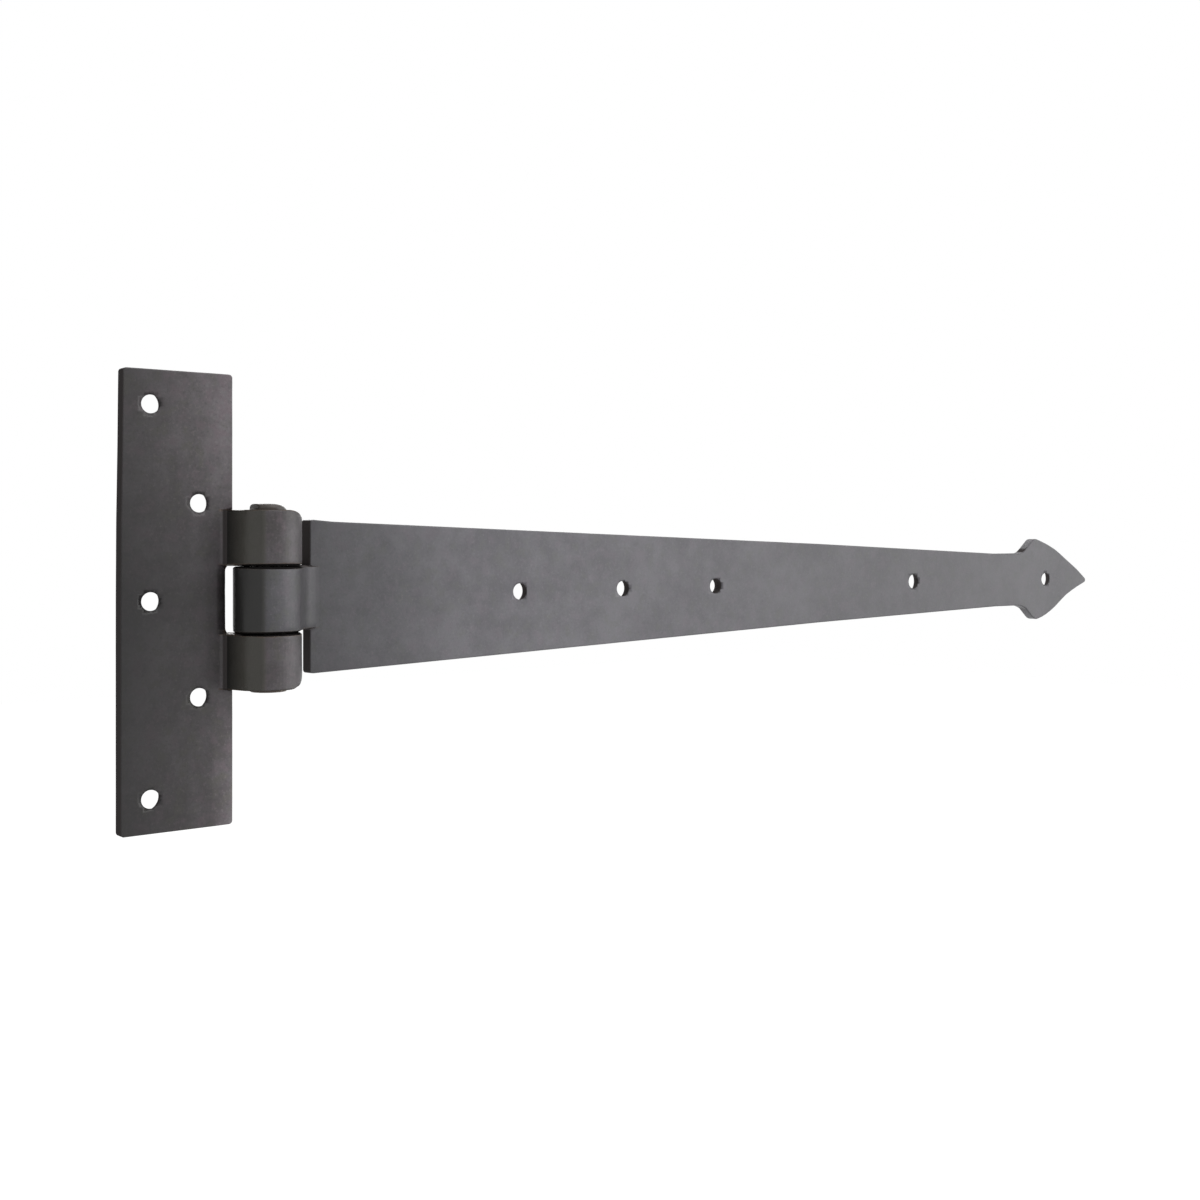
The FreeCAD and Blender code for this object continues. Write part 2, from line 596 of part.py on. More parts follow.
section_sketch = start_sketch(hinge_pin, "PinSection", "XZ_Plane")
pin_section(section_sketch)
turned_pin = hinge_pin.newObject("PartDesign::Revolution", "TurnedPin")
turned_pin.Profile = section_sketch
turned_pin.ReferenceAxis = (section_sketch, ["V_Axis"])
turned_pin.Angle = 360

# Nothing is written unless every object recomputed and every piece is one sound solid
doc.recompute()
for item in doc.Objects:
    if "Invalid" in item.State or "Error" in item.State:
        raise RuntimeError(item.Label + " did not recompute")
for piece in (cross_plate, strap, hinge_pin):
    shape = piece.Shape
    if shape.isNull() or not shape.isValid() or len(shape.Solids) != 1:
        raise RuntimeError(piece.Label + " is not one sound solid")

os.makedirs("parts", exist_ok=True)
for piece in (cross_plate, strap, hinge_pin):
    piece.Shape.exportStep("parts/%s.step" % piece.Label)
    box = piece.Shape.BoundBox
    print("%s: %.1f cubic mm, X %.2f to %.2f, Y %.2f to %.2f, Z %.2f to %.2f" % (
        piece.Label, piece.Shape.Volume, box.XMin, box.XMax, box.YMin, box.YMax, box.ZMin, box.ZMax))
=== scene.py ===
import math

import bmesh
import bpy
from mathutils import Matrix, Vector, kdtree, noise


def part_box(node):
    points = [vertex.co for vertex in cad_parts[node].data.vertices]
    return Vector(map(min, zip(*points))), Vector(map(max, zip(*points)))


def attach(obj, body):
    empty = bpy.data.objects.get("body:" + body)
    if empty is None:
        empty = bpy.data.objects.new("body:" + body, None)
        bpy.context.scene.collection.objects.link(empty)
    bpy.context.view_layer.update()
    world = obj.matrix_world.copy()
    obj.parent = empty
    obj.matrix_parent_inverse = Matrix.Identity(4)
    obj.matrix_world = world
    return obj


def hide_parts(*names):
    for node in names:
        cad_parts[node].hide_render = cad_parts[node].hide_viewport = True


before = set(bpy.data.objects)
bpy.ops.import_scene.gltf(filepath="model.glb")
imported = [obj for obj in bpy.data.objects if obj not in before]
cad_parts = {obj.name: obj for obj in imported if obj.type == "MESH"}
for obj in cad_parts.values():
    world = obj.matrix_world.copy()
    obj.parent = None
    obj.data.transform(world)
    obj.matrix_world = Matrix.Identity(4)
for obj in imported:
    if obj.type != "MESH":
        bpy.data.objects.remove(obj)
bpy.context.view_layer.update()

# The camera stands in front of the plate's left side, a little above the hinge's middle, and looks level
# along the strap. The lens and its shift put the hinge where the photograph has it, at the same size.
CAMERA_PLACE = (-0.19831, -0.49674, 0.02115)
CAMERA_TURN = math.radians(39.80)
SENSOR_WIDTH = 36
LENS_LENGTH = 45.89
LENS_SHIFT = (-0.0588, -0.0527)

camera_data = bpy.data.cameras.new("camera")
camera_data.sensor_width = SENSOR_WIDTH
camera_data.lens = LENS_LENGTH
camera_data.shift_x = LENS_SHIFT[0]
camera_data.shift_y = LENS_SHIFT[1]
camera = bpy.data.objects.new("camera", camera_data)
camera.location = CAMERA_PLACE
camera.rotation_euler = (math.radians(90), 0, -CAMERA_TURN)
bpy.context.scene.collection.objects.link(camera)
bpy.context.scene.camera = camera
bpy.context.scene.view_settings.view_transform = "Standard"


# The cross plate is one piece of flat bar. Two tongues on its right side are rolled forward round the pin,
# its five holes are punched from the front, and it is hammered lightly all over before it is waxed black.
MM = 0.001
PIN_LOW, PIN_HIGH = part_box("hinge_pin")
PIN_X = (PIN_LOW.x + PIN_HIGH.x) / 2
PIN_Y = (PIN_LOW.y + PIN_HIGH.y) / 2
PIN_RADIUS = (PIN_HIGH.x - PIN_LOW.x) / 2

MERGE_REACH = 0.002 * MM
FLAT_ANGLE = math.radians(0.5)


def merged_shape(node):
    """A copy of a node's mesh as one closed shape with its flat faces whole."""
    shape = bmesh.new()
    shape.from_mesh(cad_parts[node].data)
    bmesh.ops.remove_doubles(shape, verts=shape.verts, dist=MERGE_REACH)
    bmesh.ops.dissolve_limit(shape, angle_limit=FLAT_ANGLE, verts=shape.verts, edges=shape.edges)
    return shape


def along_line(points, place):
    """The value at a place on a line drawn through points that are each a place and a value."""
    for (first, low), (second, high) in zip(points, points[1:]):
        if place <= second:
            return low + (high - low) * max(0.0, (place - first) / (second - first))
    return points[-1][1]


# A hole is a place across and upwards in millimetres. A flare is how much wider it is at the front and
# then at the back, because a punch draws the front rim in and breaks out behind.
PLATE_HOLES = [(-9.25, 64.5), (7.15, 32.3), (-9.25, 0), (7.15, -32.3), (-9.25, -64.5)]
PLATE_HOLE_RADIUS = 3.3 * MM
PLATE_FLARES = [(-0.25, 1.15)] * len(PLATE_HOLES)
HOLE_RIM = 0.3 * MM


def flare_holes(shape, holes, radius, flares):
    """Widen the punched holes by their flares."""
    for corner in shape.verts:
        for (x, z), (front, back) in zip(holes, flares):
            out = Vector((corner.co.x - x * MM, 0, corner.co.z - z * MM))
            if out.length < radius + HOLE_RIM:
                corner.co += out.normalized() * (back if corner.co.y > -HOLE_RIM else front) * MM


LEAST_END_AREA = 100 * MM * MM
END_REACH = 0.1 * MM
END_RIM = 0.8 * MM
CROWN_HEIGHT = 0.54 * MM
BARREL_INSIDE = 10 * MM
BARREL_OUTSIDE = 12 * MM
UPPER_WEAR = 0.35
LOWER_WEAR = 0.18


def crown_ends(shape, level, way):
    """Raise the flat ends of the knuckles at a level inside a narrow dressed rim, so that they nearly touch.
    The rim is worn back at the front, away from the barrel's middle if the way is 1, or towards it."""
    ends = [face for face in shape.faces
            if abs(face.normal.z) > 0.99 and face.calc_area() > LEAST_END_AREA
            and abs(abs(face.calc_center_median().z) - level) < END_REACH]
    bmesh.ops.inset_region(shape, faces=ends, thickness=END_RIM, depth=CROWN_HEIGHT, use_even_offset=True)
    for corner in shape.verts:
        reach = math.hypot(corner.co.x - PIN_X, corner.co.y - PIN_Y)
        at_rim = abs(abs(corner.co.z) - level) < END_REACH and BARREL_INSIDE < reach < BARREL_OUTSIDE
        if at_rim and corner.co.y < PIN_Y:
            wear = UPPER_WEAR if corner.co.z > 0 else LOWER_WEAR
            worn = wear * (PIN_Y - corner.co.y) / reach * MM
            corner.co.z += math.copysign(worn, corner.co.z) * way


HOLE_REACH = 5.2
RIM_ANGLE = math.radians(20)
RIM_STEP = 0.4 * MM
RIM_REACH = 6 * MM


def by_hole(place, holes):
    """Whether a place is on or just beside one of the holes."""
    return any(math.hypot(place.x / MM - x, place.z / MM - z) < HOLE_REACH for x, z in holes)


def rim_tree(shape, holes):
    """A search tree of points on the edges where two faces meet at an angle, apart from the holes' edges."""
    points = []
    for edge in shape.edges:
        if edge.is_manifold and edge.calc_face_angle() > RIM_ANGLE and not by_hole(edge.verts[0].co, holes):
            start, end = (corner.co for corner in edge.verts)
            steps = max(1, round((end - start).length / RIM_STEP))
            points += [start.lerp(end, i / steps) for i in range(steps + 1)]
    tree = kdtree.KDTree(len(points))
    for i, place in enumerate(points):
        tree.insert(place, i)
    tree.balance()
    return tree


def mark_rims(shape, rims):
    """Give each corner its distance from the nearest rim, in millimetres, for the material to read."""
    layer = shape.verts.layers.float.new("rim_mm")
    for corner in shape.verts:
        corner[layer] = min(rims.find(corner.co)[2], RIM_REACH) / MM
    return layer


def mark_shades(shape, tone):
    """Give each corner of each face its painted light and shade, for the material to read."""
    layer = shape.loops.layers.float.new("shade")
    for face in shape.faces:
        for loop in face.loops:
            loop[layer] = tone(loop.vert.co / MM, face.normal)


SNAP = 0.12 * MM
SLICE = 1.8 * MM
ACROSS_AXIS = 0
UPWARDS_AXIS = 2
UNCUT_BARREL = (PIN_X - 14 * MM, PIN_X + 19 * MM)


def cut(shape, direction, level):
    """Cut a shape's faces along the plane that faces a direction at a level."""
    bmesh.ops.bisect_plane(shape, geom=shape.verts[:] + shape.edges[:] + shape.faces[:],
                           plane_co=direction * level, plane_no=direction, dist=SNAP)


def slice_evenly(shape, axis, uncut=(0, 0)):
    """Cut a shape by even planes across one axis, apart from those whose level is in the uncut stretch."""
    direction = Vector([1.0 if i == axis else 0.0 for i in range(3)])
    levels = [corner.co[axis] for corner in shape.verts]
    low, high = min(levels), max(levels)
    count = int((high - low) / SLICE)
    for i in range(1, count + 1):
        level = low + (high - low) * i / (count + 1)
        if not uncut[0] < level < uncut[1]:
            cut(shape, direction, level)


# The hammer's marks are in millimetres: how wide the waves and nicks are, and then how deep they go.
WIDE_WAVE = 16
TIGHT_WAVE = 5
NICK_WIDTH = 2.3
WORKED_RIM = 1.2
WIDE_DEPTH = 0.10
TIGHT_DEPTH = 0.03
RIM_DEPTH = 0.08
NICKED_FROM = 0.06
BORE_REACH = 0.6 * MM
BARREL_REACH = 9 * MM
EDGE_SHARE = 0.5


def hammer(shape, seed, tone, nicks, holes, bow=None):
    """Cut a shape into small triangles and work it inwards by the waves and nicks that a hammer leaves.
    The pin's bore stays smooth, the edges of the flats are worked half as deep, and a bow can be added."""
    rims = rim_tree(shape, holes)
    slice_evenly(shape, ACROSS_AXIS, UNCUT_BARREL)
    slice_evenly(shape, UPWARDS_AXIS)
    bmesh.ops.triangulate(shape, faces=shape.faces)
    shape.normal_update()
    rim_layer = mark_rims(shape, rims)
    moves = []
    for corner in shape.verts:
        place = corner.co / MM + seed
        wide = 0.5 + 0.5 * noise.noise(place / WIDE_WAVE)
        tight = 0.5 + 0.5 * noise.noise(place / TIGHT_WAVE)
        nick = max(0.0, noise.noise(place / NICK_WIDTH) - NICKED_FROM) * nicks(corner.co / MM)
        rim_share = max(0.0, 1 - corner[rim_layer] / WORKED_RIM)
        waves = WIDE_DEPTH * wide + TIGHT_DEPTH * tight
        depth = waves + rim_share * (RIM_DEPTH * tight + nick)
        inwards = -corner.normal
        from_pin = math.hypot(corner.co.x - PIN_X, corner.co.y - PIN_Y) - PIN_RADIUS
        if from_pin < BORE_REACH:
            depth = 0
        elif from_pin > BARREL_REACH and abs(corner.normal.y) < 0.5:
            depth *= EDGE_SHARE
        if by_hole(corner.co, holes):
            inwards = Vector((0, math.copysign(1, -corner.normal.y), 0))
            depth = waves
        move = inwards * depth
        if bow:
            move += bow(corner.co / MM)
        moves.append((corner, move * MM))
    mark_shades(shape, tone)
    for corner, move in moves:
        corner.co += move


class Output:
    """One output of a material's nodes, which sums and products can be made of."""

    def __init__(self, graph, socket):
        self.graph = graph
        self.socket = socket

    def __add__(self, other):
        return self.graph.maths("ADD", self, other)

    def __radd__(self, other):
        return self.graph.maths("ADD", other, self)

    def __sub__(self, other):
        return self.graph.maths("SUBTRACT", self, other)

    def __rsub__(self, other):
        return self.graph.maths("SUBTRACT", other, self)

    def __mul__(self, other):
        return self.graph.maths("MULTIPLY", self, other)

    def __rmul__(self, other):
        return self.graph.maths("MULTIPLY", other, self)


class Graph:
    """The nodes of one material, or of the world."""

    def __init__(self, owner):
        owner.use_nodes = True
        self.tree = owner.node_tree
        self.tree.nodes.clear()

    def add(self, kind, settings=None, **inputs):
        """A node of a kind. Its settings are set first and then its inputs, each a value or an output. An
        input is called by its name, or by an underscore and its number."""
        node = self.tree.nodes.new("ShaderNode" + kind)
        for name, setting in (settings or {}).items():
            setattr(node, name, setting)
        for name, given in inputs.items():
            key = int(name[1:]) if name[0] == "_" else name.replace("_", " ")
            socket = node.inputs[key]
            if isinstance(given, Output):
                self.tree.links.new(given.socket, socket)
            else:
                socket.default_value = given
        return node

    def out(self, kind, settings=None, output=0, **inputs):
        """One output of a new node."""
        return Output(self, self.add(kind, settings, **inputs).outputs[output])

    def maths(self, operation, first, second):
        return self.out("Math", {"operation": operation}, _0=first, _1=second)

    def clamp(self, value):
        return self.out("Clamp", Value=value)

    def scaled(self, vector, scale):
        """A place or a colour with all three of its parts multiplied."""
        return self.out("VectorMath", {"operation": "SCALE"}, Vector=vector, Scale=scale)

    def above(self, value, low, high):
        """0 below low, 1 above high and a smooth step between them."""
        smooth = {"interpolation_type": "SMOOTHSTEP"}
        return self.out("MapRange", smooth, Value=value, From_Min=low, From_Max=high)

    def blend(self, share, first, second):
        """A colour that goes from the first to the second with the share."""
        return self.out("Mix", {"data_type": "RGBA"}, output=2, _0=share, _6=first, _7=second)

    def cloud(self, place, size, shift, detail=3.0, roughness=0.55):
        """Noise whose blotches are about size millimetres wide, from 0 to 1."""
        moved = self.out("Mapping", Vector=place, Location=shift)
        return self.out("TexNoise", {"noise_dimensions": "3D"}, Vector=moved, Scale=1 / size, Detail=detail,
                        Roughness=roughness)


def rgb(red, green, blue):
    """A colour as a screen shows it, from 0 to 255, made linear."""
    def linear(level):
        share = level / 255
        return share / 12.92 if share <= 0.04045 else ((share + 0.055) / 1.055) ** 2.4
    return (linear(red), linear(green), linear(blue), 1)


def tinted(colour, red, green, blue):
    """A colour with each of its three parts made stronger or weaker."""
    return (colour[0] * red, colour[1] * green, colour[2] * blue, 1)


WORN_RIM = rgb(84, 70, 60)
BARE_IRON = rgb(160, 150, 138)
OLIVE_SHADED_SIDE = rgb(64, 63, 55)
DULL_AND_SHADED_IRON = rgb(84, 80, 80)
SHADE_STRENGTH = 3.3
DULL_BELOW = 0.38
WAXED_ABOVE = 0.46
ROLLED_FROM = 5.0
ROLLED_BEYOND = 5.6
OLIVE_TO = 22.4
OLIVE_BEFORE = 24.0
BUMP_HEIGHT = 0.12 * MM


def waxed_iron(name, shift, dark, middle, light, mottle, wear):
    """Black iron under wax: three close greys in blotches, a fine grain, faint warm and olive patches, pale
    and dark specks, and browner worn rims. Rolled iron is mottled more, and its left side is painted olive
    and dark as shade. The shade scales the colour as painted light and shade. Where it is low, on hole
    walls, in gaps and on sides turned from the light, the iron is painted dull and dark as shade. On the
    knuckles' ends it is dull but not shaded."""
    material = bpy.data.materials.new(name)
    graph = Graph(material)
    place = graph.scaled(graph.out("TexCoord", output=3), 1 / MM)
    rim = graph.out("Attribute", {"attribute_name": "rim_mm"}, output=2)
    shade = graph.out("Attribute", {"attribute_name": "shade"}, output=2)
    across, inwards = (graph.out("SeparateXYZ", output=axis, Vector=place) for axis in (0, 1))

    broad = graph.cloud(place, 26, shift)
    blotch = graph.cloud(place, 7, shift, detail=4.0)
    grain = graph.cloud(place, 0.9, shift, detail=4.0, roughness=0.7)
    tone = graph.above(broad * 0.45 + blotch * 0.4 + grain * 0.15, 0.36, 0.64)
    colour = graph.blend(graph.above(tone, 0.0, 0.55), dark, middle)
    colour = graph.blend(graph.above(tone, 0.45, 1.0), colour, light)

    rolled = graph.above(-1 * inwards, ROLLED_FROM, ROLLED_BEYOND)
    mottle = mottle + (0.7 - mottle) * rolled
    patch = graph.cloud(place, 4.6, (shift[2], shift[0], shift[1]), detail=4.0, roughness=0.6)
    warm = tinted(middle, 1.27, 1.13, 1.18)
    olive = tinted(middle, 0.98, 1.02, 0.86)
    colour = graph.blend(graph.above(patch, 0.48, 0.68) * mottle, colour, warm)
    colour = graph.blend(graph.above(1 - patch, 0.50, 0.70) * mottle, colour, olive)
    fine = graph.cloud(place, 1.1, shift, roughness=0.7)
    pale = tinted(middle, 2.1, 2.0, 1.95)
    black = tinted(middle, 0.4, 0.4, 0.4)
    colour = graph.blend(graph.above(fine, 0.54, 0.72) * mottle * 0.5, colour, pale)
    colour = graph.blend(graph.above(1 - fine, 0.54, 0.72) * mottle * 0.5, colour, black)
    # Painted shade: the left side of the rolled knuckles, turned from the light, is painted olive and
    # darker.
    shaded_left_side = rolled * (1 - graph.above(across, OLIVE_TO, OLIVE_BEFORE))
    colour = graph.blend(shaded_left_side * 0.65, colour, OLIVE_SHADED_SIDE)
    # Painted light and shade: the colour is scaled by the shade, lighter where it stands for light and
    # darker where it stands for shade.
    colour = graph.scaled(colour, 1.5 * shade - 0.5)

    uneven = graph.cloud(place, 2.4, shift, detail=4.0, roughness=0.65)
    lit = graph.above(shade, DULL_BELOW, WAXED_ABOVE)
    worn = graph.above(uneven * 1.3 - rim, 0.22, 0.55) * lit
    colour = graph.blend(worn * wear, colour, WORN_RIM)
    bare = graph.above(fine + uneven - rim * 1.6, 1.04, 1.14) * lit
    colour = graph.blend(bare * 0.8, colour, BARE_IRON)

    bumps = graph.cloud(place, 3.2, shift, detail=5.0, roughness=0.6)
    relief = graph.out("Bump", Strength=0.45, Distance=BUMP_HEIGHT, Height=bumps * 0.6 + grain * 0.4)
    shine = 0.43 + 0.16 * (blotch - 0.5) + 0.10 * (grain - 0.5) + 0.08 * worn
    waxed = graph.out("BsdfPrincipled", Base_Color=colour, Roughness=shine, IOR=1.45, Normal=relief)
    # Painted shade: where the shade is low, a dull dark colour scaled by the shade stands for shade in
    # holes, gaps and on sides turned from the light.
    dull_and_shaded_colour = graph.scaled(DULL_AND_SHADED_IRON[:3], shade * SHADE_STRENGTH)
    dull = graph.out("BsdfPrincipled", Base_Color=dull_and_shaded_colour, Roughness=0.9, Specular_IOR_Level=0.0)
    graph.add("OutputMaterial", Surface=graph.out("MixShader", _0=lit, _1=dull, _2=waxed))
    return material


SHARP_ANGLE = math.radians(50)


def finish_shape(shape, name, node, body, material):
    """Make the shape a smooth-shaded piece that stands for a node and rides on its body."""
    mesh = bpy.data.meshes.new(name)
    shape.to_mesh(mesh)
    shape.free()
    mesh.shade_smooth()
    mesh.set_sharp_from_angle(angle=SHARP_ANGLE)
    mesh.materials.append(material)
    piece = bpy.data.objects.new(name, mesh)
    bpy.context.scene.collection.objects.link(piece)
    weights = piece.modifiers.new("face_normals", "WEIGHTED_NORMAL")
    weights.keep_sharp = True
    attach(piece, body)
    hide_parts(node)


# A tone is painted light and shade: how much lighter or darker than the piece's middle grey the wax is
# painted
# where light falls and where shade lies. Each line below is drawn through places in millimetres and their
# values:
# painted light across and up the plate, then shares and the edge's bow.
# Painted shade: the gaps, the holes' walls and the sides turned from the light are painted dark. The
# knuckles' ends are dull, not shaded.
GAP_SHADE = 0.05
HOLE_WALL_SHADE = 0.36
TURNED_AWAY_SHADE = 0.3
END_TONE = 0.33
GAP_LEVELS = (10, 13)
TONGUES_FROM = 17.2
TONGUE_TOP = 31
# Painted light: the plate's flat is painted lighter to the right, to the top and in a band, and its knuckles
# lighter and darker across them as light falls.
LIGHT_ACROSS = [(-19, 0.5), (-12, 0.62), (0, 0.86), (9, 1.12), (19, 1.45)]
LIGHT_UPWARDS = [(-76, 1.22), (-50, 1.14), (0, 0.92), (64, 1.72)]
PLATE_BARREL_LIGHT = [(17.6, 1.4), (22.4, 1.0), (23.6, 1.8), (33, 1.6), (40, 0.95)]
BAND_ACROSS = [(11, 0), (16, 1)]
BAND_UPWARDS = [(-54, 1), (-24, 0)]
BAND_LIGHT = 1.25
BOWED_STRIP = [(-18, 1), (-13, 0)]
LEFT_BOW = [(-76, 0), (0, 0), (26, 0.15), (52, 0.55), (76, 0.8)]
HOLE_WALL = 3.2
BEND_DEPTH = 5


def in_hole(place, direction, holes, radius):
    """Whether a place in millimetres is on the wall of one of the holes, or at its rim."""
    near = any(math.hypot(place.x - x, place.z - z) < radius / MM + HOLE_WALL for x, z in holes)
    return near and abs(direction.y) < 0.6 and place.y > -BEND_DEPTH


def plate_painted_light(place, direction):
    """Painted light and shade: the gaps, the holes' walls and the left side are painted dark as shade, the
    knuckles are painted lighter and darker across as light falls and their ends are dull, and the flat is
    painted lighter to the right, to the top and in a band beside and under the lower tongue."""
    if place.x > TONGUES_FROM and abs(direction.z) > 0.4 and GAP_LEVELS[0] < abs(place.z) < GAP_LEVELS[1]:
        return GAP_SHADE
    if place.x > TONGUES_FROM and abs(place.z) < TONGUE_TOP:
        return along_line(PLATE_BARREL_LIGHT, place.x) if abs(direction.z) < 0.7 else END_TONE
    if in_hole(place, direction, PLATE_HOLES, PLATE_HOLE_RADIUS):
        return HOLE_WALL_SHADE
    if direction.x < -0.7:
        return TURNED_AWAY_SHADE
    band = along_line(BAND_ACROSS, place.x) * along_line(BAND_UPWARDS, place.z)
    return along_line(LIGHT_ACROSS, place.x) * along_line(LIGHT_UPWARDS, place.z) + BAND_LIGHT * band


def plate_bow(place):
    """The left edge of the plate bows in towards its top."""
    return Vector((along_line(BOWED_STRIP, place.x) * along_line(LEFT_BOW, place.z), 0, 0))


EDGE_COLUMN = 17
EDGE_LEVEL = 74
KNUCKLE_TOP = 29
KNUCKLE_LEFT = 25


def plate_nicks(place):
    """The top knuckle's left edge is nicked deepest, the plate's outer edges less, and the rest hardly."""
    if place.x > EDGE_COLUMN:
        return 2.0 if place.z > KNUCKLE_TOP and place.x < KNUCKLE_LEFT else 0.3
    at_edge = place.x < -EDGE_COLUMN or abs(place.z) > EDGE_LEVEL
    return 0.7 if at_edge else 0.1


PLATE_GAP_LEVEL = 11.8 * MM
RELIEF_LEVEL = 30.8 * MM
CLOSED_LEVEL = 29.95 * MM
RELIEF_REACH = 0.02 * MM

plate_shape = merged_shape("cross_plate")
flare_holes(plate_shape, PLATE_HOLES, PLATE_HOLE_RADIUS, PLATE_FLARES)
crown_ends(plate_shape, PLATE_GAP_LEVEL, 1)
for corner in plate_shape.verts:
    if abs(abs(corner.co.z) - RELIEF_LEVEL) < RELIEF_REACH:
        corner.co.z = math.copysign(CLOSED_LEVEL, corner.co.z)

plate_iron = waxed_iron("plate_iron", (3, 5, 7), dark=rgb(50, 47, 48), middle=rgb(58, 55, 57),
                        light=rgb(68, 65, 67), mottle=0.8, wear=0.7)
hammer(plate_shape, Vector((11, 3, 40)), plate_painted_light, plate_nicks, PLATE_HOLES, plate_bow)
finish_shape(plate_shape, "forged_cross_plate", "cross_plate", "post_side", plate_iron)


# The strap is a long tapered flat with a spear at its end and one tongue rolled round the pin at the other.
# It is sheared and ground to its outline, punched with five holes, hammered and waxed like the plate.
STRAP_HOLES = [(135.8, 0), (186.3, 0), (236.8, 0), (364.1, 0), (468.3, 0)]
BENT_HOLES = STRAP_HOLES[:3] + [(364.1, -0.4), (468.3, -1.5)]
STRAP_HOLE_RADIUS = 3.4 * MM
STRAP_FLARES = [(-0.25, 0.9), (-0.25, 0.9), (-0.2, 0.1), (0, 2.2), (0, 3.0)]

# Lines through places along the strap: its painted light and shade, and how far its upper and lower edges
# bend up or down in millimetres. Only the last third is bent, and the spear's edges bend unevenly.
LIGHT_LENGTHWAYS = [(22.4, 0.47), (23.6, 0.98), (30, 0.98), (38, 0.62), (48, 0.74), (115, 1.3), (160, 1.33),
              (400, 0.95)]
UPPER_BEND = [(300, 0), (430, -0.9), (446, -0.9), (453, -0.2), (458, -0.7), (463, -1.5), (468, -1.8),
              (473, -1.9), (479, -1.7), (484, -1.6), (489, -1.7), (497, -2.0), (505, -2.2)]
LOWER_BEND = [(300, 0), (430, -0.9), (453, -0.9), (463, -0.8), (468, -0.4), (473, 0.1), (479, 0.6),
              (484, 1.0), (489, 1.0), (497, 0.0), (505, -2.2)]
UPPER_SHARE = [(-10, 0), (10, 1)]
BEND_CUTS = (56, 300, 380, *range(452, 498, 5))
STRAP_NICKS = [(60, 0.2), (150, 0.8), (180, 3.5), (225, 3.5), (250, 0.8), (505, 0.1)]

TONGUE_END = 41
TONGUE_ROOT = 50
TONGUE_SIDES = (9, 12)
SHOULDER_FACE = (44, 49.5)
BARB_FACE = (425, 458)
# Painted shade on the barbs' back edges, darkest at the neck and lighter towards the points.
BARB_SHADES = [(14.5, 0.3), (16.5, 1.0), (22, 1.3)]


def strap_painted_light(place, direction):
    """Painted light and shade: the gaps, the tongue's sides, the shoulder's end, the barbs' back edges and
    the holes' walls are painted dark as shade, and the knuckle and the flat are painted lighter and darker
    along the strap, lightest where the flat is widest."""
    if in_hole(place, direction, BENT_HOLES, STRAP_HOLE_RADIUS):
        return HOLE_WALL_SHADE
    if SHOULDER_FACE[0] < place.x < SHOULDER_FACE[1] and direction.x < -0.6:
        return TURNED_AWAY_SHADE
    on_side = TONGUE_SIDES[0] < abs(place.z) < TONGUE_SIDES[1] and abs(direction.z) > 0.4
    if on_side and place.x < TONGUE_ROOT:
        return GAP_SHADE if place.x < TONGUE_END else TURNED_AWAY_SHADE
    if BARB_FACE[0] < place.x < BARB_FACE[1] and direction.x < -0.4:
        return along_line(BARB_SHADES, abs(place.z))
    return along_line(LIGHT_LENGTHWAYS, place.x)


def strap_nicks(place):
    """The long edges are nicked, most of all near the second and third holes, and the flat hardly."""
    return 0.1 if abs(place.z) < 11 else along_line(STRAP_NICKS, place.x)


# The strap's worked corners, in millimetres: where each begins and ends, and how far it is moved.
SHOULDER_END = 48.6
TONGUE_HALF = 10.6
SHOULDER_BACK = -0.7
UPPER_STANDS_OUT = 1.6
LOWER_STANDS_OUT = 1.0
FRONT_STANDS_OUT = 0.5
RAISED_FROM = 26
CORNER_RISE = 0.35
BARB_LEVEL = -11
BARB_FROM = 436
BARB_TO = 452
BARB_RUN = 5
BARB_SWEEP = 3
TIP_FROM = 470
TIP_RUN = 35
TIP_LOSS = 1.2


def bend_corner(corner):
    """Move one corner of the strap to where the shears, the grinder and long use left it: the shoulder's
    end stands out, its upper corner is raised, the lower barb is swept back and the tip is shorter."""
    x, y, z = corner.co / MM
    if x < SHOULDER_END and abs(z) > TONGUE_HALF:
        behind = UPPER_STANDS_OUT if z > 0 else LOWER_STANDS_OUT
        corner.co.x -= (behind if y > SHOULDER_BACK else FRONT_STANDS_OUT) * MM
    if x < TONGUE_ROOT and z > RAISED_FROM:
        corner.co.z += CORNER_RISE * MM
    if z < BARB_LEVEL and BARB_FROM < x < BARB_TO:
        corner.co.x -= BARB_SWEEP * MM * min(1.0, (BARB_TO - x) / BARB_RUN)
    if x > TIP_FROM:
        corner.co.x -= TIP_LOSS * MM * ((x - TIP_FROM) / TIP_RUN) ** 2
    share = along_line(UPPER_SHARE, z)
    corner.co.z += (along_line(UPPER_BEND, x) * share + along_line(LOWER_BEND, x) * (1 - share)) * MM


STRAP_GAP_LEVEL = 10.7 * MM

strap_shape = merged_shape("strap")
flare_holes(strap_shape, STRAP_HOLES, STRAP_HOLE_RADIUS, STRAP_FLARES)
crown_ends(strap_shape, STRAP_GAP_LEVEL, -1)
for level in BEND_CUTS:
    cut(strap_shape, Vector((1, 0, 0)), level * MM)
for corner in strap_shape.verts:
    bend_corner(corner)

strap_iron = waxed_iron("strap_iron", (31, 17, 9), dark=rgb(82, 81, 85), middle=rgb(90, 89, 93),
                        light=rgb(98, 97, 101), mottle=0.4, wear=0.2)
hammer(strap_shape, Vector((71, 13, 5)), strap_painted_light, strap_nicks, BENT_HOLES)
finish_shape(strap_shape, "forged_strap", "strap", "door_side", strap_iron)


# The pin is a length of round bar, driven tight through the plate's two knuckles. Its top end stands a
# little proud and is hammered and ground round, and its lower end has a small chamfer.
PIN_STUB_FROM = 30.4 * MM
PIN_STUB_LEFT = -5.0 * MM
PIN_STUB_DROP = 0.35
PIN_STUB_FALL = 0.035


def pin_painted_light(place, direction):
    """The pin gets no painted light and no painted shade."""
    return 1.0


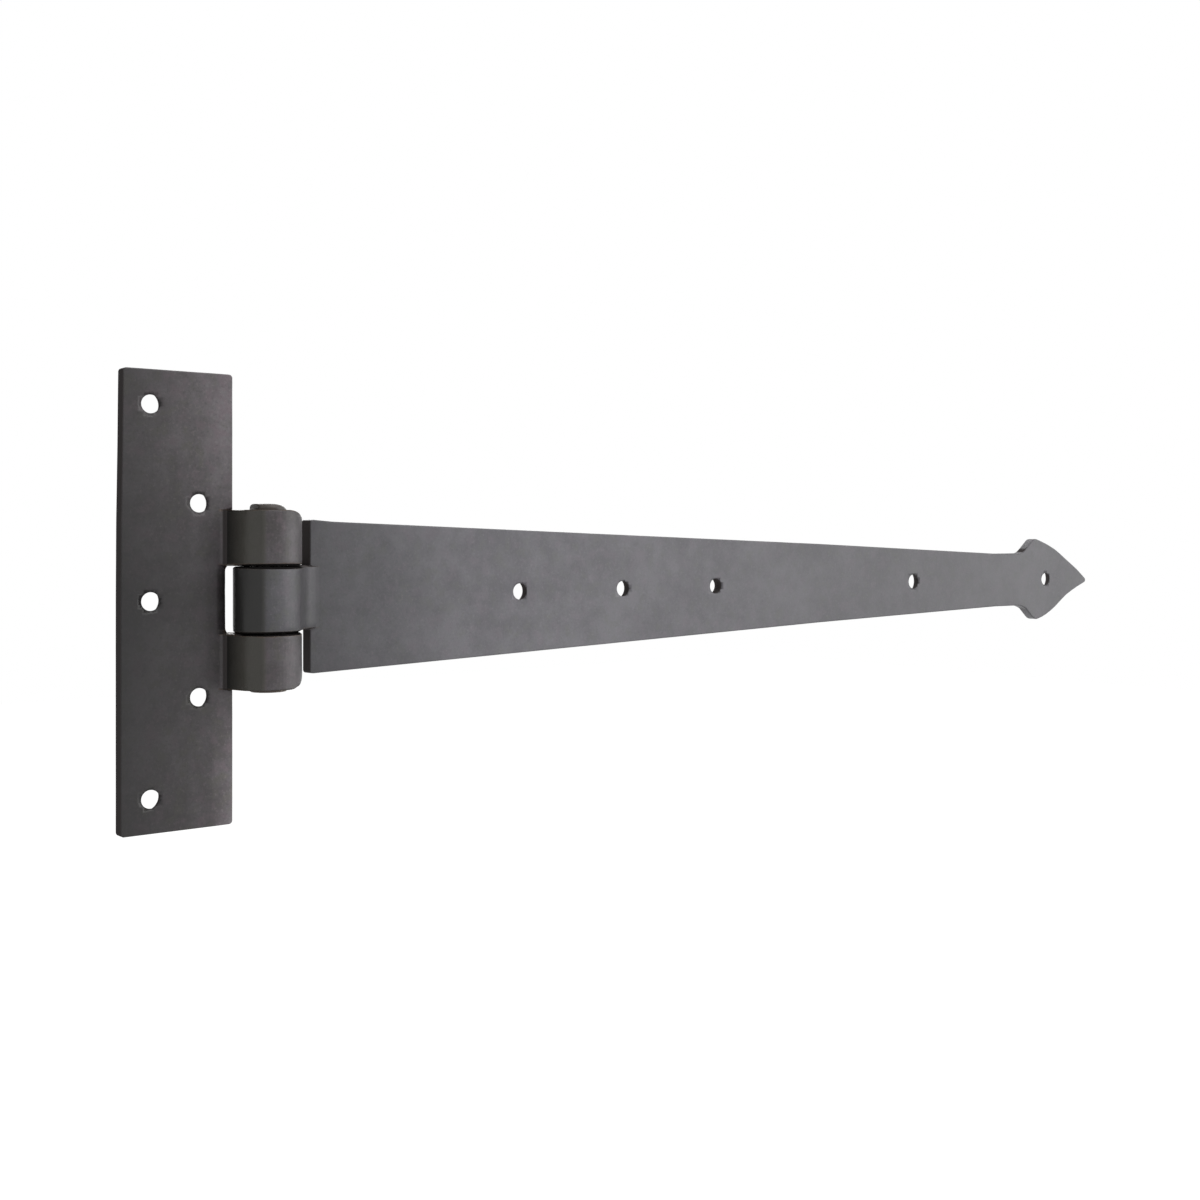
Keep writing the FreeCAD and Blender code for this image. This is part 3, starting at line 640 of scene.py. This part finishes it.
pin_iron = waxed_iron("pin_iron", (2, 44, 9), dark=rgb(54, 51, 48), middle=rgb(66, 62, 59),
                      light=rgb(86, 78, 72), mottle=0.6, wear=0.7)
pin_shape = merged_shape("hinge_pin")
mark_rims(pin_shape, rim_tree(pin_shape, []))
mark_shades(pin_shape, pin_painted_light)
for corner in pin_shape.verts:
    if corner.co.z > PIN_STUB_FROM:
        across = max(corner.co.x - PIN_X, PIN_STUB_LEFT)
        corner.co.x = PIN_X + across
        corner.co.z -= (PIN_STUB_DROP + PIN_STUB_FALL * max(0.0, across / MM + 1) ** 2) * MM
finish_shape(pin_shape, "turned_pin", "hinge_pin", "post_side", pin_iron)


# The studio is a pale floor well below the hinge and a pale surround. Three soft lamps light the hinge: the
# main one from the right, one from above and one from behind. Both floor and surround look white.
FLOOR_LEVEL = -0.45
FLOOR_SIZE = 8
FLOOR_WHITE = 0.98
AMBIENT = 0.26
WHITE = (1, 1, 1, 1)
SEEN_RAYS = ("Is Camera Ray", "Is Glossy Ray", "Is Transmission Ray")
AIM = Vector((0.2, 0, 0))


def seen_share(graph):
    """1 for rays of the camera and those that metal and glass pass on, and 0 for all others."""
    path = graph.add("LightPath")
    return graph.clamp(sum(Output(graph, path.outputs[ray]) for ray in SEEN_RAYS))


def soft_lamp(name, place, size, power):
    """A square soft lamp that faces the hinge's middle."""
    lamp_data = bpy.data.lights.new(name, "AREA")
    lamp_data.shape = "SQUARE"
    lamp_data.size = size
    lamp_data.energy = power
    lamp = bpy.data.objects.new(name, lamp_data)
    lamp.location = place
    lamp.rotation_euler = (AIM - Vector(place)).to_track_quat("-Z", "Y").to_euler()
    bpy.context.scene.collection.objects.link(lamp)


paper = bpy.data.materials.new("floor_paper")
floor_graph = Graph(paper)
lit_paper = floor_graph.out("BsdfDiffuse", Color=(0.8, 0.8, 0.8, 1))
white_paper = floor_graph.out("Emission", Color=WHITE, Strength=FLOOR_WHITE)
shadowed = floor_graph.out("BsdfDiffuse", Color=(0.2, 0.2, 0.2, 1))
seen_paper = floor_graph.out("AddShader", _0=white_paper, _1=shadowed)
paper_mix = floor_graph.out("MixShader", _0=seen_share(floor_graph), _1=lit_paper, _2=seen_paper)
floor_graph.add("OutputMaterial", Surface=paper_mix)

floor_shape = bmesh.new()
bmesh.ops.create_grid(floor_shape, x_segments=1, y_segments=1, size=FLOOR_SIZE / 2)
floor_mesh = bpy.data.meshes.new("floor")
floor_shape.to_mesh(floor_mesh)
floor_shape.free()
floor_mesh.transform(Matrix.Translation((0, 0, FLOOR_LEVEL)))
floor_mesh.materials.append(paper)
floor = bpy.data.objects.new("floor", floor_mesh)
bpy.context.scene.collection.objects.link(floor)

world = bpy.data.worlds.new("surround")
bpy.context.scene.world = world
surround = Graph(world)
ambient = surround.out("Background", Color=WHITE, Strength=AMBIENT)
backdrop = surround.out("Background", Color=WHITE, Strength=1.0)
surround_mix = surround.out("MixShader", _0=seen_share(surround), _1=ambient, _2=backdrop)
surround.add("OutputWorld", Surface=surround_mix)

soft_lamp("key_lamp", (2.0, -1.3, 0.5), 2.0, 26)
soft_lamp("top_lamp", (0.4, -0.9, 1.6), 1.2, 13)
soft_lamp("back_lamp", (0.9, 1.6, 0.9), 1.2, 15)
